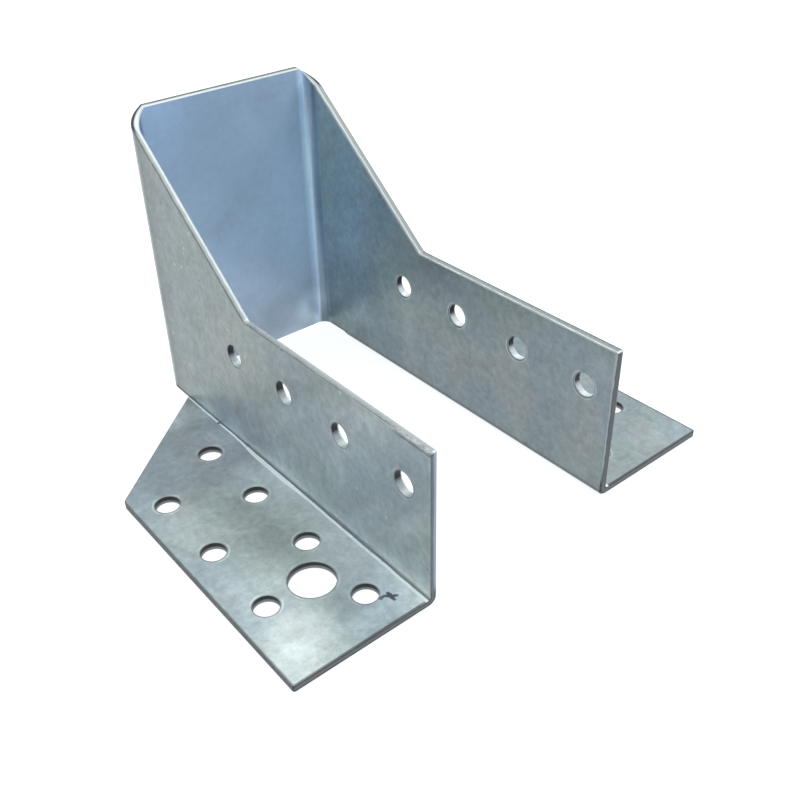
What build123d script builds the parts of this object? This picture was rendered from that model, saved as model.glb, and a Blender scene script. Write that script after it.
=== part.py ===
from build123d import *
import math
import os

# Sheet and folds, in millimetres
sheet_thickness = 1.75
seat_bend_radius = 2.25
flange_fold_radius = 0.25

# Pocket that holds the joist
joist_width = 45.0
pocket_height = 96.0
seat_depth = 69.5

# Outline of a side wall and of the seat, measured from the open end and the header face
wall_depth = 35.3
seat_back = 1.2
straight_wall_length = 57.0
kink_radius = 2.0

# Outline of a header flange
flange_width = 30.3
flange_fold_length = 87.5
flange_free_length = 62.0
slant_corner_radius = 1.5

# Corners of the walls and flanges at the open end
end_corner_radius = 0.5

# Nail holes, with each row measured from the open end. The far row's margin is the length
# from its last hole to the corner where the flange's slanted edge starts.
nail_hole_diameter = 5.2
nail_pitch = 18.55
wall_row_count = 4
wall_row_height = 24.7
wall_row_start = 6.95
near_row_count = 4
near_row_offset = 8.0
near_row_start = 8.9
far_row_count = 3
far_row_offset = 23.7
far_row_margin = 6.7

# Bolt hole in each header flange
bolt_hole_diameter = 9.4
bolt_hole_offset = 13.4
bolt_hole_height = 18.2

# Rims that the punch rolls on the inner side of the sheet, and those of its holes
rim_width = 0.35
hole_rim_width = 0.15

# Places worked out from the sizes. X runs across the hanger, Y from the open end
# to the seat, and Z away from the header that the flanges lie against.
wall_inner = joist_width / 2
wall_outer = wall_inner + sheet_thickness
open_end = -(pocket_height + sheet_thickness) / 2
seat_inner = open_end + pocket_height
seat_tangent = wall_inner - seat_bend_radius
wall_tangent = seat_inner - seat_bend_radius
fold_outer_radius = flange_fold_radius + sheet_thickness
flange_tangent = wall_outer + flange_fold_radius
flange_edge = wall_outer + flange_width
fold_end = open_end + flange_fold_length
far_row_start = flange_free_length - far_row_margin - (far_row_count - 1) * nail_pitch
seat_back_turn = math.degrees(math.asin((fold_outer_radius - seat_back) / fold_outer_radius))

# The sloping edge is straight on the flat blank. It leaves the top of the straight wall,
# climbs round the seat's bend as a helix, and ends just past it on the flat seat.
bend_middle_radius = seat_bend_radius + sheet_thickness / 2
bend_length = bend_middle_radius * math.pi / 2
corner_clearance = rim_width
slope_run = wall_tangent + bend_length + corner_clearance - open_end - straight_wall_length
slope_rise = seat_depth - wall_depth
slope = slope_rise / slope_run
slope_rim_drop = rim_width * math.hypot(slope_run, slope_rise) / slope_run
slope_end = seat_depth - slope * (corner_clearance + bend_length)

# Length that a flat plate is drawn past a fold line, before it is trimmed there
spare = sheet_thickness


def nail_row(count, start, across):
    """Places of one row of nail holes, as (along Y, across) pairs."""
    return [(open_end + start + nail_pitch * i, across) for i in range(count)]


def corner(face, x, y):
    """The corner of a flat outline nearest to a place."""
    return face.vertices().sort_by_distance((x, y, 0))[0]


def rimmed_plate(outline):
    """A plate of the sheet over a flat outline, with chamfered rims on its inner side."""
    plate = extrude(outline, sheet_thickness)
    inner_side = plate.faces().sort_by(Axis.Z)[0]
    plate = chamfer(inner_side.outer_wire().edges(), rim_width)
    inner_side = plate.faces().sort_by(Axis.Z)[0]
    holes = [edge for wire in inner_side.inner_wires() for edge in wire.edges()]
    return chamfer(holes, hole_rim_width) if holes else plate


def wall_plate():
    """Flat part of the right wall, drawn with Y and Z as its axes."""
    kink = open_end + straight_wall_length
    outline = make_face(
        Polyline(
            (open_end, fold_outer_radius - spare),
            (open_end, wall_depth),
            (kink, wall_depth),
            (wall_tangent + spare, slope_end + slope * spare),
            (wall_tangent + spare, seat_back),
            (fold_end, seat_back),
            (fold_end, fold_outer_radius - spare),
            close=True,
        )
    )
    outline = fillet(corner(outline, open_end, wall_depth), end_corner_radius)
    outline = fillet(corner(outline, kink, wall_depth), kink_radius)
    for along, across in nail_row(wall_row_count, wall_row_start, wall_row_height):
        outline -= Pos(along, across) * Circle(nail_hole_diameter / 2)
    plate = Plane.YZ.offset(wall_inner) * rimmed_plate(outline)
    size = (2 * wall_outer, 2 * flange_fold_length, 2 * fold_outer_radius)
    at_fold = Box(*size, align=(Align.CENTER, Align.MAX, Align.MAX))
    plate -= Pos(wall_inner, fold_end, fold_outer_radius) * at_fold
    return split(plate, bisect_by=Plane.XZ.offset(-wall_tangent), keep=Keep.TOP)


def flange_plate():
    """Flat part of the right header flange, with its nail holes and bolt hole."""
    outline = make_face(
        Polyline(
            (flange_tangent - spare, open_end),
            (flange_edge, open_end),
            (flange_edge, open_end + flange_free_length),
            (flange_tangent + corner_clearance, fold_end),
            (flange_tangent - spare, fold_end),
            close=True,
        )
    )
    outline = fillet(corner(outline, flange_edge, open_end), end_corner_radius)
    slant_corner = corner(outline, flange_edge, open_end + flange_free_length)
    outline = fillet(slant_corner, slant_corner_radius)
    near_row = nail_row(near_row_count, near_row_start, wall_outer + near_row_offset)
    far_row = nail_row(far_row_count, far_row_start, wall_outer + far_row_offset)
    for along, across in near_row + far_row:
        outline -= Pos(across, along) * Circle(nail_hole_diameter / 2)
    bolt_place = Pos(wall_outer + bolt_hole_offset, open_end + bolt_hole_height)
    outline -= bolt_place * Circle(bolt_hole_diameter / 2)
    return split(rimmed_plate(outline), bisect_by=Plane.YZ.offset(flange_tangent), keep=Keep.TOP)


def fold_section():
    """Section of the fold between a wall and its flange, rimmed at the open end only."""
    section = make_face(
        Polyline(
            (-flange_fold_radius, open_end),
            (-fold_outer_radius, open_end),
            (-fold_outer_radius, fold_end),
            (-flange_fold_radius, fold_end),
            close=True,
        )
    )
    return chamfer(corner(section, -fold_outer_radius, open_end), rim_width)


def flange_fold():
    """Fold of the right flange. Its end is rimmed from where the wall's lower edge leaves it."""
    section = fold_section()
    rimmed_section = chamfer(corner(section, -fold_outer_radius, fold_end), rim_width)
    beside_wall = revolve(section, -Axis.Y, seat_back_turn)
    beyond = Rot(0, -seat_back_turn, 0) * revolve(rimmed_section, -Axis.Y, 90 - seat_back_turn)
    return Pos(flange_tangent, 0, fold_outer_radius) * (beside_wall + beyond)


def space_above_bend():
    """The space over the seat's bend: its floor climbs as a helix and is lower at the rim."""
    overrun = 10.0
    turn = 90 + 2 * overrun
    rise = slope * bend_middle_radius * math.radians(turn)
    drop = slope * bend_middle_radius * math.radians(overrun)
    pitch = slope * bend_middle_radius * 2 * math.pi
    rim = Helix(pitch, rise, seat_bend_radius + rim_width)
    outer = Helix(pitch, rise, seat_bend_radius + sheet_thickness + spare)
    lower = Helix(pitch, rise, seat_bend_radius - rim_width)
    lower = Pos(0, 0, -2 * slope_rim_drop) * lower
    floor = Face.make_surface_from_curves(rim.edge(), outer.edge())
    rim_floor = Face.make_surface_from_curves(lower.edge(), rim.edge())
    place = Pos(seat_tangent, wall_tangent, slope_end - drop) * Rot(0, 0, -overrun)
    space = extrude(place * floor, seat_depth, dir=(0, 0, 1))
    return space + extrude(place * rim_floor, seat_depth, dir=(0, 0, 1))


def seat_bend():
    """Bend between the right wall and the seat, with its climbing free edge."""
    outer_radius = seat_bend_radius + sheet_thickness
    section = make_face(
        Polyline(
            (seat_bend_radius + rim_width, 0, seat_back),
            (outer_radius, 0, seat_back),
            (outer_radius, 0, seat_depth),
            (seat_bend_radius, 0, seat_depth),
            (seat_bend_radius, 0, seat_back + rim_width),
            close=True,
        )
    )
    whole = Pos(seat_tangent, wall_tangent) * revolve(section, Axis.Z, 90)
    return whole - space_above_bend()


def seat_plate():
    """Flat part of the seat that the joist bears on, drawn with Z and X as its axes."""
    outline = make_face(
        Polyline(
            (seat_back, -seat_tangent - spare),
            (seat_depth - slope * (corner_clearance + spare), -seat_tangent - spare),
            (seat_depth, corner_clearance - seat_tangent),
            (seat_depth, seat_tangent - corner_clearance),
            (seat_depth - slope * (corner_clearance + spare), seat_tangent + spare),
            (seat_back, seat_tangent + spare),
            close=True,
        )
    )
    plate = Plane.ZX.offset(seat_inner) * rimmed_plate(outline)
    plate = split(plate, bisect_by=Plane.YZ.offset(seat_tangent), keep=Keep.BOTTOM)
    return split(plate, bisect_by=Plane.YZ.offset(-seat_tangent), keep=Keep.TOP)


def build():
    """The whole hanger as one folded sheet."""
    side = wall_plate() + flange_fold() + flange_plate() + seat_bend()
    return side + mirror(side, Plane.YZ) + seat_plate()


hanger = build()
os.makedirs("parts", exist_ok=True)
export_step(hanger, "parts/joist_hanger.step")
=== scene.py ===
import math

import bpy
from mathutils import Matrix, Vector

# Sizes of the folded sheet, in metres, used to place the finish on it
sheet_thickness = 0.00175
wall_inner = 0.0225
seat_inner = 0.047125
seat_bend_radius = 0.00225
fold_radius = 0.002
open_end = -0.048875
rim_width = 0.00035
wall_depth = 0.0353
flange_width = 0.0303
wall_outer = wall_inner + sheet_thickness
flange_end = wall_outer + flange_width

# A length too small to see, in metres
hair = 0.00001

# Rows of holes, in metres: first hole from the open end, count, place across, hole radius
nail_pitch = 0.01855
nail_radius = 0.0026
wall_row = (0.00695, 4, 0.0247, nail_radius)
near_row = (0.00890, 4, wall_outer + 0.0080, nail_radius)
far_row = (0.01820, 3, wall_outer + 0.0237, nail_radius)
bolt_row = (0.01820, 1, wall_outer + 0.0134, 0.0047)

# Height that parts the flanges' holes from the walls'
flange_level = 0.004

# Camera of the photograph
camera_place = Vector((-0.10698, -0.14270, 0.13246))
camera_azimuth = -37.72
camera_elevation = 33.74
camera_roll = -2.04
camera_lens = 43.56
camera_sensor = 36.0
camera_shift_x = 0.0271
camera_shift_y = -0.0181
camera_nearest = 0.005

# Studio light: the sky's colours and where they meet, and the direction and reach of its glow
sky_low = (0.62, 0.70, 0.75, 1.0)
sky_high = (1.00, 1.04, 1.06, 1.0)
sky_glow = (3.20, 3.30, 3.25, 1.0)
sky_climb = (0.20, 0.90)
glow_direction = Vector((0.08, 0.34, 0.94)).normalized()
glow_reach = (0.80, 0.96)

# Floor, which glows a little so that it stays white in the hanger's shade
floor_reach = 3.0
floor_drop = 0.00002
floor_base = (0.22, 0.22, 0.22, 1.0)
floor_roughness = 0.9
floor_glow = (0.96, 0.98, 1.0, 1.0)
floor_glow_strength = 0.91

# Surface of the zinc, and the width by which the shading rounds its edges, in metres
zinc_metallic = 0.6
zinc_roughness = (0.31, 0.36)
cut_roughness = 0.12
edge_softness = 0.00030
bump_strength = 0.08
bump_height = 0.0002

# Noise of the finish, per metre and from coarse to fine
patch_scale = 38.0
warm_scale = 55.0
sheen_scale = 90.0
wobble_scale = 180.0
blotch_scale = 210.0
break_scale = 300.0
speck_scale = 330.0
mottle_scale = 620.0
grit_scale = 900.0
grain_scale = 1500.0
fleck_scale = 1800.0
smudge_scale = 1900.0

# Range in which a noise value mostly lies, and the coating's blotches and mottling around 1
noise_low = 0.3
noise_high = 0.7
coating_mottle = (0.11, 0.16)
seat_mottle = (0.03, 0.05)

# Tints of the zinc coating, and of the edges where the sheet was cut; many edge tints are painted
# light and shade
zinc_green = (0.340, 0.387, 0.384, 1.0)
zinc_blue = (0.308, 0.364, 0.392, 1.0)
zinc_warm = (0.356, 0.386, 0.392, 1.0)
edge_dark = (0.030, 0.033, 0.037, 1.0)
edge_pale = (0.085, 0.093, 0.100, 1.0)
edge_middle = (0.125, 0.133, 0.140, 1.0)
# The walls' open ends: blue-grey as painted reflection, paler towards the inner side, dark on the
# right wall's end
end_dark = (0.115, 0.150, 0.185, 1.0)
end_pale = (0.290, 0.335, 0.370, 1.0)
end_right = (0.080, 0.090, 0.098, 1.0)
# Upper edges: grain from dark to pale, painted paler on the left wall's inner half, with a paler
# line on the right; the up-facing slopes are painted bright as reflection of the light above
top_dark = (0.210, 0.226, 0.226, 1.0)
top_pale = (0.320, 0.342, 0.342, 1.0)
top_inner = (0.380, 0.404, 0.404, 1.0)
top_line = (0.340, 0.365, 0.365, 1.0)
slope_outer = (0.370, 0.394, 0.390, 1.0)
slope_inner = (0.720, 0.765, 0.775, 1.0)
slope_line = (0.600, 0.640, 0.645, 1.0)
# Painted shade along the line where a cut edge meets the outer side
outline_shade = (0.075, 0.084, 0.090, 1.0)
# Holes' cut walls: painted shade on the upper half and where they face down, painted light where
# they face up
hole_dark = (0.022, 0.024, 0.027, 1.0)
hole_pale = (0.200, 0.215, 0.225, 1.0)
hole_lit_left = (0.460, 0.505, 0.515, 1.0)
hole_lit_right = (0.760, 0.810, 0.820, 1.0)
# Rolled rims painted as highlights: brightest where they face up, dimmer facing sideways, on the
# right wall and at the seat
rim_highlight = (0.900, 0.930, 0.950, 1.0)
rim_side = (0.300, 0.335, 0.350, 1.0)
rim_right = (0.320, 0.345, 0.355, 1.0)
rim_seat = (0.700, 0.730, 0.750, 1.0)
# Near-white for the painted highlight along the fold, the pale ring round the holes and the pale
# specks
fold_bright = (0.950, 1.000, 1.000, 1.0)
# Dark for the painted shade in the groove above the fold, the line round the holes and the line
# under the rubbed edge
groove_dark = (0.060, 0.076, 0.080, 1.0)
smudge_dark = (0.024, 0.030, 0.035, 1.0)
rubbed_dark = (0.200, 0.215, 0.215, 1.0)
rubbed_pale = (0.440, 0.465, 0.470, 1.0)

# Tints of the seat, and of its zones, which multiply it: a blue that is partly the coating's own and
# partly painted reflection, painted darker at the top and foot, and zones of painted light and shade
seat_blue = (0.383, 0.519, 0.694, 1.0)
seat_top = (0.228, 0.321, 0.446, 1.0)
seat_low = (0.295, 0.375, 0.465, 1.0)
seat_left = (1.22, 1.25, 1.30, 1.0)
seat_right = (1.42, 1.40, 1.38, 1.0)
seat_foot = (0.78, 0.78, 0.76, 1.0)

# Painted light, shade and reflection, as tints that multiply the coating: on the seat's right
# bend, in the pocket, on the walls' outer sides and on the flanges
# Painted highlight along the seat's right bend, and painted shade beside it
bend_highlight_high = (1.60, 1.58, 1.58, 1.0)
bend_highlight_low = (1.32, 1.31, 1.42, 1.0)
bend_shade_high = (0.70, 0.72, 0.72, 1.0)
bend_shade_low = (0.46, 0.48, 0.48, 1.0)
# Pocket: grey to a painted reflection of the blue seat towards it; painted shade beside the bend,
# low down, in the corner and at the foot; painted light at the top by the open end
pocket_grey = (0.745, 0.765, 0.765, 1.0)
pocket_seat_reflection = (1.09, 1.255, 1.315, 1.0)
pocket_bend = (0.84, 0.82, 0.80, 1.0)
pocket_low = (0.86, 0.87, 0.88, 1.0)
pocket_corner = (0.58, 0.60, 0.60, 1.0)
pocket_end = (1.17, 1.16, 1.20, 1.0)
pocket_foot_shade = (0.42, 0.44, 0.45, 1.0)
# Outer walls: painted reflection of the flange on their lower part, painted shade above it, at the
# foot and by the seat
outer_high = (0.73, 0.73, 0.71, 1.0)
outer_low = (1.24, 1.25, 1.27, 1.0)
outer_foot = (0.80, 0.81, 0.83, 1.0)
outer_end = (1.02, 1.03, 1.02, 1.0)
outer_bend = (0.70, 0.70, 0.72, 1.0)
# Painted light on the walls' outer foot beside the fold
wall_foot_light = (1.12, 1.12, 1.12, 1.0)
# Flanges: painted light at the near end and painted shade towards the seat; painted light along the
# left fold and at the right front corner, painted shade at the left free edge
flange_near = (0.83, 0.85, 0.85, 1.0)
flange_far = (0.535, 0.555, 0.575, 1.0)
flange_fold = (1.80, 1.72, 1.74, 1.0)
flange_right = (1.16, 1.18, 1.21, 1.0)
flange_edge = (0.84, 0.85, 0.86, 1.0)

# Strengths of the marks, from 0 to 1
outline_share = 0.8
outline_loss = 0.7
edge_band_share = 0.75
side_edge_band_share = 0.85
ring_share = 0.20
punch_line_share = 0.45
groove_share = 0.8
glow_share = 0.16
worn_line_share = 0.6
smudge_share = 0.88
dark_speck_share = 0.45
pale_speck_share = 0.25

# Bands and fades. Each is a pair of places in metres: a mark is nil at the first and full at
# the second. These run through the sheet, from its inner side.
inner_side = (0.0012, 0.0006)
cut_start = (0.00005, 0.00010)
cut_end = (sheet_thickness - 0.00005, sheet_thickness - 0.00012)
outer_skin = (0.00150, 0.00165)
smudge_skin = (0.0010, 0.0014)
worn_skin = (0.00085, 0.00115)
flange_core_start = (0.00050, 0.00085)
flange_core_end = (0.00150, 0.00120)
end_inner_half = (0.00105, 0.00075)
top_inner_half = (0.00115, 0.00045)
right_top_line = (0.00095, 0.00060)
outline_band = (0.00132, 0.00156)
bend_outline_band = (0.00095, 0.00125)
hole_upper_half = (0.00060, 0.00090)
rim_band = (rim_width * 0.95, rim_width * 0.65)

# How far the bands on a cut edge waver through the sheet, in metres
cut_waver = 0.0004

# Fades along the hanger, from the open end to the seat
before_seat = (0.0462, 0.0440)
at_seat = (0.0440, 0.0462)
bend_outline_start = (0.0440, 0.0458)
right_side_end = (0.0462, 0.0450)
seat_rim_start = (0.0464, 0.0470)
pocket_blue_climb = (0.000, 0.046)
outer_end_start = (-0.030, -0.042)
outer_bend_start = (0.036, 0.047)
flange_climb = (-0.002, 0.012)
front_edge_band = (open_end + 0.00050, open_end + 0.00025)
end_corner = (-0.0478, -0.0482)
stripe_growth = (0.030, -0.045)
stripe_wide_start = (0.016, 0.007)
stripe_wide_end = (-0.014, -0.002)
stripe_glow_start = (0.014, 0.004)
wall_foot_start = (0.000, -0.022)
wall_foot_end = (-0.0465, -0.0400)

# Fades across the hanger and up from the header
within_walls = (0.0250, 0.0246)
beyond_walls = (0.0244, 0.0248)
side_edge_band = (flange_end - 0.00050, flange_end - 0.00020)
left_wall = (-0.0230, -0.0235)
above_flange = (0.0025, 0.0050)
wall_rim_start = (0.003, 0.008)
outer_foot_top = (0.018, 0.008)
seat_top_fade = (0.066, 0.040)
seat_low_fade = (0.030, 0.004)
bend_climb = (0.052, 0.036)

# The flange's painted reflection in the wall ends along a slant: a rise per length, and where it
# fades
reflection_slant = 0.52
reflection_edge = (0.0245, 0.0165)

# Facing of a cut surface, from its normal: towards the open end, and upwards. The cut edges' painted
# light and shade follow it.
facing_front = (-0.80, -0.90)
facing_end = (-0.30, -0.45)
facing_slope = (0.96, 0.88)
facing_up = (0.25, 0.55)
hole_facing_up = (0.15, 0.65)
rim_facing_up = (0.20, 0.50)

# Marks round the holes, outward from their rims
hole_cut = (0.00035, 0.00025)
ring_start = (0.00020, 0.00040)
ring_end = (0.00075, 0.00050)
punch_line = (0.00030, 0.00005)

# The painted shade of the groove and the painted highlight stripe beside the flange's fold, measured
# out over the flange, and the last two up the wall
fold_wobble = 0.0004
groove_start = (-0.00022, -0.00010)
groove_end = (0.00038, 0.00028)
stripe_start = (0.00034, 0.00044)
stripe_end = (0.00092, 0.00068)
stripe_growth_width = 0.00022
stripe_extra_width = 0.00055
stripe_glow_end = (0.0026, 0.0008)
foot_start = (0.0006, 0.0012)
foot_end = (0.0050, 0.0024)

# The rubbed stretch of the left wall's top edge: its length, and fades down from that edge
worn_reach = (0.0110, 0.0070)
worn_raggedness = 0.0005
worn_end_raggedness = 4.0
rubbed_band = (0.00045, 0.00025)
worn_line_start = (0.00030, 0.00050)
worn_line_end = (0.00095, 0.00070)

# Zones of tint, as painted light and shade. Each has its tint and its fades: an axis, and where the
# zone is nil and full.
# Painted light and shade in the pocket
pocket_light_zones = {
    "beside the bend": (pocket_bend, [("y", 0.030, 0.042)]),
    "low down": (pocket_low, [("z", 0.030, 0.002)]),
    "corner by the seat": (pocket_corner, [("y", 0.010, 0.040), ("z", 0.036, 0.004)]),
    "top at the open end": (pocket_end, [("y", -0.018, -0.034), ("z", 0.024, 0.033)]),
}
# Painted shade along the walls' inner foot
foot_shade_zones = {
    "foot": (pocket_foot_shade, [("across", 0.0245, 0.0235), ("z", 0.0024, 0.0014)]),
}
# Painted light and shade on the flanges
flange_light_zones = {
    "along the left fold": (flange_fold, [("x", -0.0380, -0.0260), ("x", -0.0200, -0.0240)]),
    "right front corner": (flange_right, [("x", 0.042, 0.049), ("y", -0.040, -0.044)]),
    "left free edge": (
        flange_edge,
        [("x", -0.0495, -0.0530), ("y", 0.006, 0.000), ("y", -0.040, -0.032)],
    ),
}
# Painted light and shade on the seat
seat_light_zones = {
    "upper left": (seat_left, [("x", -0.004, -0.018), ("z", 0.048, 0.062)]),
    "right": (seat_right, [("x", -0.002, 0.018), ("z", 0.068, 0.058)]),
    "right foot": (seat_foot, [("x", 0.010, 0.018), ("z", 0.010, 0.004)]),
}
bend_highlight_fades = [("around", -0.0040, -0.0025), ("around", -0.0014, -0.0020)]
bend_shade_fades = [("around", -0.0017, -0.0007), ("around", 0.0028, 0.0014)]

# Thresholds of the noise in the coating and its marks, as pairs of noise values
cooler_patches = (0.38, 0.62)
warmer_patches = (0.50, 0.70)
edge_grain = (0.30, 0.75)
top_grain = (0.20, 0.80)
ring_breaks = (0.40, 0.62)
stripe_breaks = (0.15, 0.42)
worn_flecks = (0.35, 0.65)

# Specks: the share of cells that has one, its size in a cell, and which are dark or pale
speck_chance = (0.86, 0.90)
speck_size = (0.16, 0.05)
speck_dark = (0.45, 0.40)
speck_pale = (0.60, 0.65)


def on_flange(x, y):
    """A place on the upper side of a flange."""
    return Vector((x, y, sheet_thickness))


def on_left_wall(y, z):
    """A place on the outer side of the left wall."""
    return Vector((-wall_outer, y, z))


def on_right_wall(y, z):
    """A place on the inner side of the right wall."""
    return Vector((wall_inner, y, z))


def on_seat(x, z):
    """A place on the inner side of the seat."""
    return Vector((x, seat_inner, z))


# Soft patches of painted light and shade, lighter or darker: place, radius in metres and gain
outer_light_patches = {
    "front corner": (on_flange(-0.0470, -0.0398), 0.0085, 1.24),
    "front edge by the fold": (on_flange(-0.0275, -0.0460), 0.0065, 1.42),
    "behind the bolt hole": (on_flange(-0.0370, -0.0165), 0.0080, 0.86),
    "middle": (on_flange(-0.0335, 0.0060), 0.0100, 1.24),
    "end of the fold": (on_flange(-0.0290, 0.0310), 0.0080, 1.16),
    "far part by the fold": (on_flange(-0.0290, 0.0190), 0.0095, 1.32),
    "front edge's middle": (on_flange(-0.0356, -0.0456), 0.0045, 1.40),
    "beside the smudge": (on_flange(-0.0262, -0.0390), 0.0050, 1.25),
    "free edge": (on_flange(-0.0475, -0.0118), 0.0060, 0.87),
    "far part": (on_flange(-0.0365, 0.0145), 0.0080, 1.25),
    "wall over the middle": (on_left_wall(-0.0005, 0.0065), 0.0080, 1.15),
    "slanted corner": (on_flange(-0.0520, 0.0105), 0.0050, 1.25),
    "front corner's tip": (on_flange(-0.0516, -0.0452), 0.0060, 1.15),
    "wall over the end of the fold": (on_left_wall(0.0300, 0.0035), 0.0060, 1.20),
    "wall under the second hole": (on_left_wall(-0.0215, 0.0160), 0.0070, 1.08),
    "near part by the fold": (on_flange(-0.0300, -0.0260), 0.0070, 1.08),
}
pocket_light_patches = {
    "wall by the seat": (on_right_wall(0.0365, 0.0115), 0.0110, 1.20),
    "wall's foot by the seat": (on_right_wall(0.0300, 0.0030), 0.0075, 0.77),
    "wall's foot": (on_right_wall(0.0180, 0.0040), 0.0095, 0.84),
    "wall under the slope": (on_right_wall(0.0210, 0.0120), 0.0110, 0.88),
    "wall behind the kink": (on_right_wall(0.0140, 0.0360), 0.0120, 1.12),
    "seat's foot at the bend": (on_seat(0.0185, 0.0075), 0.0065, 1.36),
    "seat over its foot": (on_seat(0.0120, 0.0180), 0.0080, 1.06),
    "seat's foot": (on_seat(0.0085, 0.0085), 0.0085, 0.78),
    "seat's lower middle": (on_seat(0.0020, 0.0230), 0.0080, 1.06),
    "seat's upper left": (on_seat(-0.0060, 0.0500), 0.0140, 1.08),
    "seat's middle": (on_seat(0.0019, 0.0340), 0.0090, 1.11),
    "seat's upper right": (on_seat(0.0100, 0.0620), 0.0060, 0.88),
}

# Blobs of the dark smudge, a ragged star with an arm to the hole: place and radius
smudge_blobs = {
    "core": (on_flange(-0.02912, -0.04350), 0.00080),
    "seat arm": (on_flange(-0.02898, -0.04300), 0.00065),
    "seat arm's tip": (on_flange(-0.02903, -0.04255), 0.00055),
    "end arm": (on_flange(-0.02914, -0.04400), 0.00060),
    "end arm's tip": (on_flange(-0.02914, -0.04448), 0.00060),
    "fold arm": (on_flange(-0.02855, -0.04385), 0.00055),
    "fold arm's tip": (on_flange(-0.02814, -0.04408), 0.00055),
    "hole arm": (on_flange(-0.02960, -0.04300), 0.00065),
    "hole arm's middle": (on_flange(-0.03010, -0.04270), 0.00060),
    "hole arm's tip": (on_flange(-0.03081, -0.04276), 0.00075),
}

# The blobs' sum at which the smudge starts and is full, and the noise that frays it
smudge_edge = (0.10, 1.35)
smudge_raggedness = 2.0

# The dark speck at the flange's fold, and its radius in metres
fold_speck = Vector((-0.02480, 0.02440, 0.00190))
fold_speck_radius = 0.00060

# Share of a round mark's radius that is at full strength
mark_core = 0.3


class Graph:
    """Adds and links the nodes of one material or world."""

    def __init__(self, tree):
        self.tree = tree
        tree.nodes.clear()

    def node(self, kind, **settings):
        made = self.tree.nodes.new(kind)
        for name, value in settings.items():
            setattr(made, name, value)
        return made

    def feed(self, socket, value):
        if isinstance(value, bpy.types.NodeSocket):
            self.tree.links.new(value, socket)
        elif value is not None:
            socket.default_value = value

    def math(self, operation, first, second=None):
        made = self.node("ShaderNodeMath", operation=operation)
        self.feed(made.inputs[0], first)
        self.feed(made.inputs[1], second)
        return made.outputs[0]

    def product(self, *shares):
        """All the shares multiplied together."""
        result = shares[0]
        for share in shares[1:]:
            result = self.math("MULTIPLY", result, share)
        return result

    def rest(self, share):
        """What a share leaves of 1."""
        return self.math("SUBTRACT", 1.0, share)

    def axes(self, vector):
        made = self.node("ShaderNodeSeparateXYZ")
        self.feed(made.inputs[0], vector)
        return made.outputs

    def step(self, value, nil, full):
        """0 up to nil, 1 from full on and smooth between; nil above full turns it round."""
        made = self.node("ShaderNodeMapRange", interpolation_type="SMOOTHSTEP")
        self.feed(made.inputs["Value"], value)
        turned = nil > full
        self.feed(made.inputs["From Min"], min(nil, full))
        self.feed(made.inputs["From Max"], max(nil, full))
        self.feed(made.inputs["To Min"], 1.0 if turned else 0.0)
        self.feed(made.inputs["To Max"], 0.0 if turned else 1.0)
        return made.outputs["Result"]

    def spread(self, value, low, high):
        """A noise value spread over a range."""
        made = self.node("ShaderNodeMapRange")
        self.feed(made.inputs["Value"], value)
        self.feed(made.inputs["From Min"], noise_low)
        self.feed(made.inputs["From Max"], noise_high)
        self.feed(made.inputs["To Min"], low)
        self.feed(made.inputs["To Max"], high)
        return made.outputs["Result"]

    def blend(self, share, first, second, kind="MIX"):
        made = self.node("ShaderNodeMix", data_type="RGBA", blend_type=kind, clamp_factor=True)
        self.feed(made.inputs[0], share)
        self.feed(made.inputs[6], first)
        self.feed(made.inputs[7], second)
        return made.outputs[2]

    def tint(self, share, colour, tint):
        """A colour multiplied by a tint, as far as a share says."""
        return self.blend(share, colour, self.blend(1.0, colour, tint, kind="MULTIPLY"))

    def noise(self, place, scale, detail, roughness=0.5, distortion=0.0):
        made = self.node("ShaderNodeTexNoise")
        self.feed(made.inputs["Vector"], place)
        self.feed(made.inputs["Scale"], scale)
        self.feed(made.inputs["Detail"], detail)
        self.feed(made.inputs["Roughness"], roughness)
        self.feed(made.inputs["Distortion"], distortion)
        return made.outputs["Fac"]

    def jitter(self, place, scale, size, detail, roughness=0.5):
        """Noise of a given size to both sides of 0."""
        noise = self.noise(place, scale, detail, roughness)
        return self.math("MULTIPLY", self.math("SUBTRACT", noise, 0.5), size)

    def stretch(self, place, scale):
        made = self.node("ShaderNodeMapping")
        self.feed(made.inputs["Vector"], place)
        made.inputs["Scale"].default_value = scale
        return made.outputs[0]

    def distance(self, first, second):
        gap = self.node("ShaderNodeVectorMath", operation="DISTANCE")
        self.feed(gap.inputs[0], first)
        self.feed(gap.inputs[1], second)
        return gap.outputs["Value"]


class Sheet:
    """Where a shaded point lies on the folded sheet, and which way the surface faces there."""

    def __init__(self, g):
        self.place = g.node("ShaderNodeTexCoord").outputs["Object"]
        self.x, self.y, self.z = g.axes(self.place)
        self.across = g.math("ABSOLUTE", self.x)
        self.around = g.math("ADD", g.math("SUBTRACT", self.x, self.y), seat_inner - wall_inner)
        self.left = g.math("LESS_THAN", self.x, 0.0)
        self.right = g.rest(self.left)
        normal = g.node("ShaderNodeNewGeometry").outputs["True Normal"]
        facing = g.axes(normal)
        self.normal_y = facing[1]
        self.normal_z = facing[2]
        self.depth = sheet_depth(g, self)
        self.gap = hole_gap(g, self)
        self.inner = g.step(self.depth, *inner_side)
        self.outer = g.rest(self.inner)
        self.skin = g.step(self.depth, *outer_skin)


def rounded(g, first, second):
    """Distance from a rounded corner's centre, or from the nearer of its two sides."""
    out_first = g.math("MAXIMUM", first, 0.0)
    out_second = g.math("MAXIMUM", second, 0.0)
    squares = g.math("ADD", g.math("POWER", out_first, 2.0), g.math("POWER", out_second, 2.0))
    reach = g.math("SQRT", squares)
    return g.math("ADD", reach, g.math("MINIMUM", g.math("MAXIMUM", first, second), 0.0))


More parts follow.
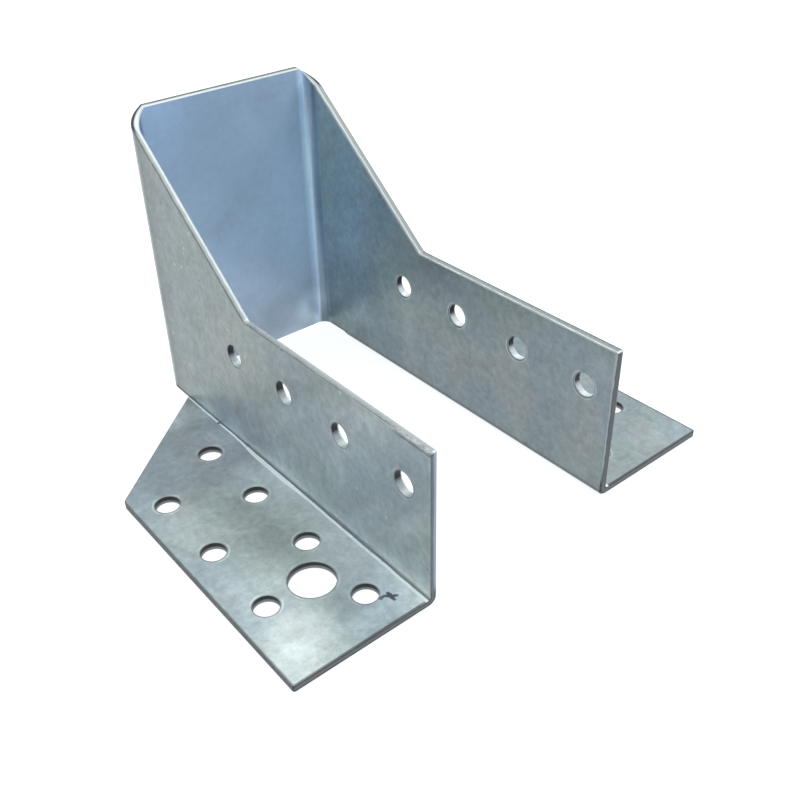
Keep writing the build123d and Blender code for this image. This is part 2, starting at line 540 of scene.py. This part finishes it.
def sheet_depth(g, sheet):
    """Distance through the sheet from its inner side: the pocket, the folds and the flange backs."""
    beside = g.math("SUBTRACT", sheet.across, wall_inner - seat_bend_radius)
    along = g.math("SUBTRACT", sheet.y, seat_inner - seat_bend_radius)
    channel = g.math("SUBTRACT", rounded(g, beside, along), seat_bend_radius)
    beside = g.math("SUBTRACT", wall_inner + fold_radius, sheet.across)
    below = g.math("SUBTRACT", fold_radius, sheet.z)
    folded = g.math("SUBTRACT", fold_radius, rounded(g, beside, below))
    in_channel = g.math("GREATER_THAN", sheet.z, fold_radius - hair)
    return g.math("ADD", g.product(channel, in_channel), g.product(folded, g.rest(in_channel)))


def row_gap(g, along, across, row):
    """Distance outward from the rims of one row of holes."""
    start, count, offset, radius = row
    from_first = g.math("SUBTRACT", along, open_end + start)
    nearest = g.math("ROUND", g.math("DIVIDE", from_first, nail_pitch))
    nearest = g.math("MINIMUM", g.math("MAXIMUM", nearest, 0.0), count - 1.0)
    beside = g.math("SUBTRACT", from_first, g.math("MULTIPLY", nearest, nail_pitch))
    over = g.math("SUBTRACT", across, offset)
    squares = g.math("ADD", g.math("POWER", beside, 2.0), g.math("POWER", over, 2.0))
    return g.math("SUBTRACT", g.math("SQRT", squares), radius)


def hole_gap(g, sheet):
    """Distance outward from the rim of the nearest hole."""
    flange_gap = row_gap(g, sheet.y, sheet.across, near_row)
    for row in (far_row, bolt_row):
        flange_gap = g.math("MINIMUM", flange_gap, row_gap(g, sheet.y, sheet.across, row))
    wall_gap = row_gap(g, sheet.y, sheet.z, wall_row)
    on_wall = g.math("GREATER_THAN", sheet.z, flange_level)
    return g.math("ADD", g.product(wall_gap, on_wall), g.product(flange_gap, g.rest(on_wall)))


def mark(g, sheet, centre, radius):
    """A round mark on the sheet: 1 near its centre, fading to 0 at its radius."""
    return g.step(g.distance(sheet.place, centre), radius, radius * mark_core)


def mottled(g, colour, sheet, blotch, grain):
    """A colour with soft blotches and fine mottling, each of a given strength."""
    blotches = g.noise(sheet.place, blotch_scale, detail=4.0, distortion=1.2)
    mottling = g.noise(sheet.place, mottle_scale, detail=5.0, roughness=0.70)
    blotches = g.spread(blotches, 1.0 - blotch, 1.0 + blotch)
    mottling = g.spread(mottling, 1.0 - grain, 1.0 + grain)
    colour = g.blend(1.0, colour, blotches, kind="MULTIPLY")
    return g.blend(1.0, colour, mottling, kind="MULTIPLY")


def coating_colour(g, sheet):
    """The zinc's soft patches of green, blue and warm grey, with fine mottling."""
    patches = g.noise(sheet.place, patch_scale, detail=2.0, roughness=0.45)
    cooler = g.blend(g.step(patches, *cooler_patches), zinc_green, zinc_blue)
    upright = g.stretch(sheet.place, (1.0, 1.0, 0.6))
    patches = g.noise(upright, warm_scale, detail=2.0, distortion=0.6)
    colour = g.blend(g.step(patches, *warmer_patches), cooler, zinc_warm)
    return mottled(g, colour, sheet, *coating_mottle)


def faded(g, sheet, side, fades):
    """A share of one side of the sheet, narrowed by a zone's fades."""
    return g.product(side, *(g.step(getattr(sheet, axis), *ends) for axis, *ends in fades))


def zoned(g, colour, sheet, side, zones):
    """A colour with zones of tint on one side of the sheet."""
    for tint, fades in zones.values():
        colour = g.tint(faded(g, sheet, side, fades), colour, tint)
    return colour


def patched(g, colour, sheet, side, patches):
    """A colour with soft lighter and darker patches of painted light and shade on one side of the
    sheet.
    """
    for centre, radius, gain in patches.values():
        share = g.product(side, mark(g, sheet, centre, radius))
        colour = g.tint(share, colour, (gain, gain, gain, 1.0))
    return colour


def pocket_side_colour(g, colour, sheet, on_wall):
    """The walls' inner sides: bluer towards the seat as its painted reflection, and darker at the
    foot as painted shade, with zones of painted light and shade.
    """
    pocket = g.product(sheet.inner, on_wall)
    climb = g.step(sheet.y, *pocket_blue_climb)
    colour = g.tint(pocket, colour, g.blend(climb, pocket_grey, pocket_seat_reflection))
    colour = zoned(g, colour, sheet, pocket, pocket_light_zones)
    return zoned(g, colour, sheet, sheet.inner, foot_shade_zones)


def wall_side_colour(g, colour, sheet, on_wall):
    """The walls' outer sides, with the flange's reflection painted paler on them, and painted shade
    above it, at the foot and by the seat.
    """
    outside = g.product(sheet.outer, on_wall)
    # The flange's reflection, painted paler below a slanted line
    height = g.math("ADD", sheet.z, g.math("MULTIPLY", sheet.y, reflection_slant))
    flange_reflection = g.step(height, *reflection_edge)
    side = g.blend(flange_reflection, outer_high, outer_low)
    side = g.tint(g.product(flange_reflection, g.step(sheet.z, *outer_foot_top)), side, outer_foot)
    side = g.blend(g.step(sheet.y, *outer_end_start), side, outer_end)
    colour = g.tint(outside, colour, side)
    return g.tint(g.product(outside, g.step(sheet.y, *outer_bend_start)), colour, outer_bend)


def flange_colour(g, colour, sheet):
    """The flanges' upper sides, with painted light and shade, and a dark band along their front and
    free edges.
    """
    upper = g.product(g.step(sheet.across, *beyond_walls), sheet.outer)
    # Painted light at the near end, fading to painted shade towards the seat
    climb = g.step(sheet.y, *flange_climb)
    colour = g.tint(upper, colour, g.blend(climb, flange_near, flange_far))
    colour = zoned(g, colour, sheet, upper, flange_light_zones)
    colour = patched(g, colour, sheet, sheet.outer, outer_light_patches)
    # A dark band on the upper side along the front and free edges
    side = g.product(g.step(sheet.across, *side_edge_band), side_edge_band_share)
    edge_band = g.math("MAXIMUM", g.step(sheet.y, *front_edge_band), side)
    return g.blend(g.product(upper, edge_band, edge_band_share), colour, edge_dark)


def seat_colour(g, colour, sheet):
    """The seat's inner side, bluer and smoother than the rest: its blue is partly painted
    reflection, with painted light and shade in zones and patches.
    """
    # Painted shade at the seat's top and foot, and painted light and shade in zones
    seat = g.blend(g.step(sheet.z, *seat_top_fade), seat_top, seat_blue)
    seat = g.blend(g.step(sheet.z, *seat_low_fade), seat, seat_low)
    seat = mottled(g, zoned(g, seat, sheet, 1.0, seat_light_zones), sheet, *seat_mottle)
    colour = g.blend(g.product(g.step(sheet.y, *at_seat), sheet.inner), colour, seat)
    # Painted light and shade in patches on the pocket's inner sides
    return patched(g, colour, sheet, sheet.inner, pocket_light_patches)


def bend_colour(g, colour, sheet):
    """A painted highlight as a soft pale band on the seat's right bend, and painted shade beside it.
    """
    right = g.product(sheet.inner, sheet.right)
    climb = g.step(sheet.z, *bend_climb)
    glow = g.blend(climb, bend_highlight_high, bend_highlight_low)
    colour = g.tint(faded(g, sheet, right, bend_highlight_fades), colour, glow)
    shade = g.blend(climb, bend_shade_high, bend_shade_low)
    return g.tint(faded(g, sheet, right, bend_shade_fades), colour, shade)


def side_colour(g, sheet):
    """The coating on the sheet's two sides, with its broad shifts of tint, most of them painted
    light, shade and reflection.
    """
    on_wall = g.product(g.step(sheet.across, *within_walls), g.step(sheet.y, *before_seat))
    colour = coating_colour(g, sheet)
    colour = pocket_side_colour(g, colour, sheet, on_wall)
    colour = wall_side_colour(g, colour, sheet, on_wall)
    colour = flange_colour(g, colour, sheet)
    colour = seat_colour(g, colour, sheet)
    return bend_colour(g, colour, sheet)


def low_cut_colour(g, sheet, depth, grain):
    """The flanges' cut edges, with a paler middle in front, and the walls' blue-grey ends, painted
    as reflection.
    """
    flange_cut = g.blend(g.step(grain, *edge_grain), edge_dark, edge_pale)
    core = g.product(g.step(depth, *flange_core_start), g.step(depth, *flange_core_end))
    core = g.product(core, g.step(sheet.normal_y, *facing_front))
    flange_cut = g.blend(core, flange_cut, edge_middle)
    wall_end = g.blend(g.step(depth, *end_inner_half), end_dark, end_pale)
    wall_end = g.blend(sheet.left, end_right, wall_end)
    return g.blend(g.step(sheet.z, *above_flange), flange_cut, wall_end)


def top_cut_colour(g, sheet, depth, grain):
    """The walls' and the seat's upper edges, with painted highlights on the up-facing slopes and at
    the end corners.
    """
    inward = g.product(g.step(depth, *top_inner_half), sheet.left)
    line = g.product(g.step(depth, *right_top_line), sheet.right)
    top = g.blend(g.step(grain, *top_grain), top_dark, top_pale)
    top = g.blend(inward, top, top_inner)
    top = g.blend(line, top, top_line)
    slope = g.blend(inward, slope_outer, slope_inner)
    slope = g.blend(line, slope, slope_line)
    top = g.blend(g.step(sheet.normal_z, *facing_slope), top, slope)
    # Painted highlight at the top corners of the walls' open ends
    corner = g.product(g.step(sheet.normal_y, *facing_end), g.step(sheet.y, *end_corner))
    return g.blend(corner, top, rim_highlight)


def outlined(g, colour, sheet, depth, on_right):
    """A cut edge with a painted dark line of shade where it meets the sheet's outer side."""
    outline = g.product(g.step(depth, *outline_band), g.step(sheet.z, *above_flange))
    paler = g.product(on_right, g.step(sheet.normal_z, *facing_slope))
    strength = g.math("SUBTRACT", outline_share, g.product(paler, outline_loss))
    colour = g.blend(g.product(outline, strength), colour, outline_shade)
    at_bend = g.product(g.step(sheet.y, *bend_outline_start), g.step(depth, *bend_outline_band))
    return g.blend(at_bend, colour, edge_dark)


def hole_wall_colour(g, sheet, depth):
    """The holes' cut walls: painted shade, and painted light from above in the hanger's walls."""
    in_flange = g.blend(g.step(depth, *hole_upper_half), hole_pale, hole_dark)
    lit = g.blend(sheet.left, hole_lit_right, hole_lit_left)
    in_wall = g.blend(g.step(sheet.normal_z, *hole_facing_up), hole_dark, lit)
    return g.blend(g.step(sheet.z, *above_flange), in_flange, in_wall)


def rimmed(g, colour, sheet, depth, on_right):
    """A cut edge with the rim that the punch rolled on the sheet's inner side, painted bright as a
    highlight, most where it faces up.
    """
    rim = g.product(g.step(depth, *rim_band), g.step(sheet.z, *wall_rim_start))
    high_rim = g.blend(on_right, rim_highlight, rim_right)
    high_rim = g.blend(g.step(sheet.y, *seat_rim_start), high_rim, rim_seat)
    high_rim = g.blend(g.step(sheet.normal_z, *rim_facing_up), rim_side, high_rim)
    return g.blend(rim, colour, high_rim)


def cut_colour(g, sheet):
    """The sheet's cut edges and the walls of its holes, with painted light and shade by depth and
    facing.
    """
    grain = g.noise(sheet.place, grain_scale, detail=3.0, roughness=0.6)
    waver = g.jitter(sheet.place, break_scale, cut_waver, detail=2.0)
    depth = g.math("ADD", sheet.depth, waver)
    on_right = g.product(sheet.right, g.step(sheet.y, *right_side_end))
    low = low_cut_colour(g, sheet, depth, grain)
    top = top_cut_colour(g, sheet, depth, grain)
    colour = g.blend(g.step(sheet.normal_z, *facing_up), low, top)
    colour = outlined(g, colour, sheet, depth, on_right)
    colour = g.blend(g.step(sheet.gap, *hole_cut), colour, hole_wall_colour(g, sheet, depth))
    return rimmed(g, colour, sheet, depth, on_right)


def hole_rings(g, colour, sheet):
    """The dark line that the punch leaves round each hole, with a faint pale ring outside it."""
    ring = g.product(g.step(sheet.gap, *ring_end), g.step(sheet.gap, *ring_start))
    broken = g.step(g.noise(sheet.place, break_scale, detail=2.0), *ring_breaks)
    colour = g.blend(g.product(ring, broken, ring_share), colour, fold_bright)
    line = g.step(sheet.gap, *punch_line)
    return g.blend(g.product(line, punch_line_share), colour, groove_dark)


def wall_foot_glow(g, colour, sheet, up_wall):
    """The walls' outer foot, painted a little paler beside the near part of the fold, as light."""
    rise = g.product(g.step(up_wall, *foot_start), g.step(up_wall, *foot_end))
    stretch = g.product(g.step(sheet.y, *wall_foot_start), g.step(sheet.y, *wall_foot_end))
    return g.tint(g.product(rise, stretch, sheet.skin), colour, wall_foot_light)


def fold_highlight_and_shade(g, colour, sheet):
    """The painted highlight stripe beside the flange's fold, and the painted shade of the groove
    above it.
    """
    up_wall = g.math("SUBTRACT", sheet.z, sheet_thickness)
    colour = wall_foot_glow(g, colour, sheet, up_wall)
    over_flange = g.math("SUBTRACT", sheet.across, wall_outer)
    lengthwise = g.stretch(sheet.place, (1.0, 1.0, 0.2))
    wobble = g.jitter(lengthwise, wobble_scale, fold_wobble, detail=2.0)
    beside = g.math("ADD", g.math("SUBTRACT", over_flange, up_wall), wobble)
    # Painted shade in the groove above the fold
    groove = g.product(g.step(beside, *groove_start), g.step(beside, *groove_end))
    colour = g.blend(g.product(groove, sheet.skin, groove_share), colour, groove_dark)
    # Painted highlight stripe beside the fold, wider in its middle, with a faint painted glow past
    # it
    width = g.product(g.step(sheet.y, *stripe_growth), stripe_growth_width)
    wide = g.product(g.step(sheet.y, *stripe_wide_start), g.step(sheet.y, *stripe_wide_end))
    width = g.math("ADD", width, g.product(wide, stripe_extra_width))
    past = g.math("SUBTRACT", beside, width)
    started = g.product(g.step(beside, *stripe_start), sheet.skin)
    glow = g.product(g.step(past, *stripe_glow_end), g.step(sheet.y, *stripe_glow_start))
    glow = g.product(glow, started, sheet.left, glow_share)
    colour = g.blend(glow, colour, fold_bright)
    breaks = g.step(g.noise(sheet.place, break_scale, detail=3.0), *stripe_breaks)
    return g.blend(g.product(started, g.step(past, *stripe_end), breaks), colour, fold_bright)


def worn_edge(g, colour, sheet):
    """The left wall's top edge near its open end, rubbed bright, with a dark line under it."""
    ragged = g.jitter(sheet.place, grit_scale, worn_raggedness, detail=3.0)
    near_end = g.math("SUBTRACT", sheet.y, open_end)
    near_end = g.math("ADD", near_end, g.math("MULTIPLY", ragged, worn_end_raggedness))
    below = g.math("ADD", g.math("SUBTRACT", wall_depth, sheet.z), ragged)
    skin = g.step(g.math("ADD", sheet.depth, ragged), *worn_skin)
    worn = g.product(g.step(sheet.x, *left_wall), g.step(near_end, *worn_reach), skin)
    line = g.product(g.step(below, *worn_line_start), g.step(below, *worn_line_end))
    colour = g.blend(g.product(worn, line, worn_line_share), colour, groove_dark)
    flecks = g.noise(sheet.place, fleck_scale, detail=4.0, roughness=0.7)
    bright = g.blend(g.step(flecks, *worn_flecks), rubbed_dark, rubbed_pale)
    return g.blend(g.product(worn, g.step(below, *rubbed_band)), colour, bright)


def smudges(g, colour, sheet):
    """Dark marks on the left flange: one ragged star beside a hole, and a speck by the fold."""
    marks = g.jitter(sheet.place, smudge_scale, smudge_raggedness, detail=4.0, roughness=0.75)
    for centre, radius in smudge_blobs.values():
        marks = g.math("ADD", marks, mark(g, sheet, centre, radius))
    marks = g.step(marks, *smudge_edge)
    marks = g.math("MAXIMUM", marks, mark(g, sheet, fold_speck, fold_speck_radius))
    marks = g.product(marks, g.step(sheet.depth, *smudge_skin), smudge_share)
    return g.blend(marks, colour, smudge_dark)


def specks(g, colour, sheet):
    """Fine dark and light specks scattered over the coating."""
    cells = g.node("ShaderNodeTexVoronoi", feature="F1")
    g.feed(cells.inputs["Vector"], sheet.place)
    g.feed(cells.inputs["Scale"], speck_scale)
    tone = g.node("ShaderNodeSeparateColor")
    g.feed(tone.inputs[0], cells.outputs["Color"])
    chosen = g.step(tone.outputs[0], *speck_chance)
    spot = g.product(g.step(cells.outputs["Distance"], *speck_size), chosen)
    dark = g.product(spot, g.step(tone.outputs[1], *speck_dark), dark_speck_share)
    pale = g.product(spot, g.step(tone.outputs[1], *speck_pale), pale_speck_share)
    return g.blend(pale, g.blend(dark, colour, smudge_dark), fold_bright)


def surface_normal(g, sheet):
    """The surface's direction, with rounded edges and fine grit."""
    softened = g.node("ShaderNodeBevel", samples=8)
    softened.inputs["Radius"].default_value = edge_softness
    bump = g.node("ShaderNodeBump")
    bump.inputs["Strength"].default_value = bump_strength
    bump.inputs["Distance"].default_value = bump_height
    g.feed(bump.inputs["Height"], g.noise(sheet.place, grit_scale, detail=4.0))
    g.feed(bump.inputs["Normal"], softened.outputs[0])
    return bump.outputs[0]


def new_material(name):
    """A material that uses nodes, and the graph that fills it."""
    material = bpy.data.materials.new(name)
    material.use_nodes = True
    return material, Graph(material.node_tree)


def zinc_material():
    """The hanger's satin zinc coating, with its raw cut edges and rolled rims, and painted light,
    shade and reflections.
    """
    material, g = new_material("zinc_coated_steel")
    sheet = Sheet(g)
    colour = side_colour(g, sheet)
    colour = specks(g, colour, sheet)
    colour = fold_highlight_and_shade(g, colour, sheet)
    colour = hole_rings(g, colour, sheet)
    colour = smudges(g, colour, sheet)
    cut = g.product(g.step(sheet.depth, *cut_start), g.step(sheet.depth, *cut_end))
    colour = g.blend(cut, colour, cut_colour(g, sheet))
    colour = worn_edge(g, colour, sheet)
    sheen = g.spread(g.noise(sheet.place, sheen_scale, detail=3.0), *zinc_roughness)

    shader = g.node("ShaderNodeBsdfPrincipled")
    shader.inputs["Metallic"].default_value = zinc_metallic
    g.feed(shader.inputs["Base Color"], colour)
    g.feed(shader.inputs["Roughness"], g.math("ADD", sheen, g.product(cut, cut_roughness)))
    g.feed(shader.inputs["Normal"], surface_normal(g, sheet))
    output = g.node("ShaderNodeOutputMaterial")
    g.feed(output.inputs["Surface"], shader.outputs[0])
    return material


def floor_material():
    """The floor's plain white."""
    material, g = new_material("floor_white")
    shader = g.node("ShaderNodeBsdfPrincipled")
    shader.inputs["Base Color"].default_value = floor_base
    shader.inputs["Roughness"].default_value = floor_roughness
    shader.inputs["Emission Color"].default_value = floor_glow
    shader.inputs["Emission Strength"].default_value = floor_glow_strength
    output = g.node("ShaderNodeOutputMaterial")
    g.feed(output.inputs["Surface"], shader.outputs[0])
    return material


def add_floor():
    """A plain pale floor that the hanger lies on."""
    far = floor_reach
    mesh = bpy.data.meshes.new("floor")
    corners = [(-far, -far, 0), (far, -far, 0), (far, far, 0), (-far, far, 0)]
    mesh.from_pydata(corners, [], [(0, 1, 2, 3)])
    mesh.materials.append(floor_material())
    floor = bpy.data.objects.new("floor", mesh)
    floor.location.z = -floor_drop
    bpy.context.scene.collection.objects.link(floor)


def add_sky():
    """Soft studio light all round, with a broad glow high up behind the hanger."""
    world = bpy.data.worlds.new("studio")
    bpy.context.scene.world = world
    world.use_nodes = True
    g = Graph(world.node_tree)
    direction = g.node("ShaderNodeTexCoord").outputs["Generated"]
    height = g.axes(direction)[2]
    colour = g.blend(g.step(height, *sky_climb), sky_low, sky_high)
    towards_glow = g.node("ShaderNodeVectorMath", operation="DOT_PRODUCT")
    g.feed(towards_glow.inputs[0], direction)
    g.feed(towards_glow.inputs[1], glow_direction)
    glow = g.step(towards_glow.outputs["Value"], *glow_reach)
    colour = g.blend(glow, colour, sky_glow)
    background = g.node("ShaderNodeBackground")
    g.feed(background.inputs["Color"], colour)
    output = g.node("ShaderNodeOutputWorld")
    g.feed(output.inputs["Surface"], background.outputs[0])


def add_camera():
    """The photograph's camera."""
    data = bpy.data.cameras.new("camera")
    data.sensor_width = camera_sensor
    data.lens = camera_lens
    data.shift_x = camera_shift_x
    data.shift_y = camera_shift_y
    data.clip_start = camera_nearest
    camera = bpy.data.objects.new("camera", data)
    azimuth = math.radians(camera_azimuth)
    elevation = math.radians(camera_elevation)
    level = math.cos(elevation)
    away = Vector((math.sin(azimuth) * level, -math.cos(azimuth) * level, math.sin(elevation)))
    turn = away.to_track_quat("Z", "Y").to_matrix().to_4x4()
    roll = Matrix.Rotation(math.radians(camera_roll), 4, "Z")
    camera.matrix_world = Matrix.Translation(camera_place) @ turn @ roll
    bpy.context.scene.collection.objects.link(camera)
    bpy.context.scene.camera = camera


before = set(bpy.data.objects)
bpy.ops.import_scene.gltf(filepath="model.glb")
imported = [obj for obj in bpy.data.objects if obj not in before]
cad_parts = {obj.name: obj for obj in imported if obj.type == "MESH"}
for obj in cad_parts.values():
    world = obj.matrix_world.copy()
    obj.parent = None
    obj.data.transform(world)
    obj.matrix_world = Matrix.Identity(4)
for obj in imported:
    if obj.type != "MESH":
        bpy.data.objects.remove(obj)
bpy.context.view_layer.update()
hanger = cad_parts["joist_hanger"]
material = zinc_material()
for slot in hanger.material_slots:
    slot.material = material
add_floor()
add_sky()
add_camera()
bpy.context.scene.view_settings.view_transform = "Standard"
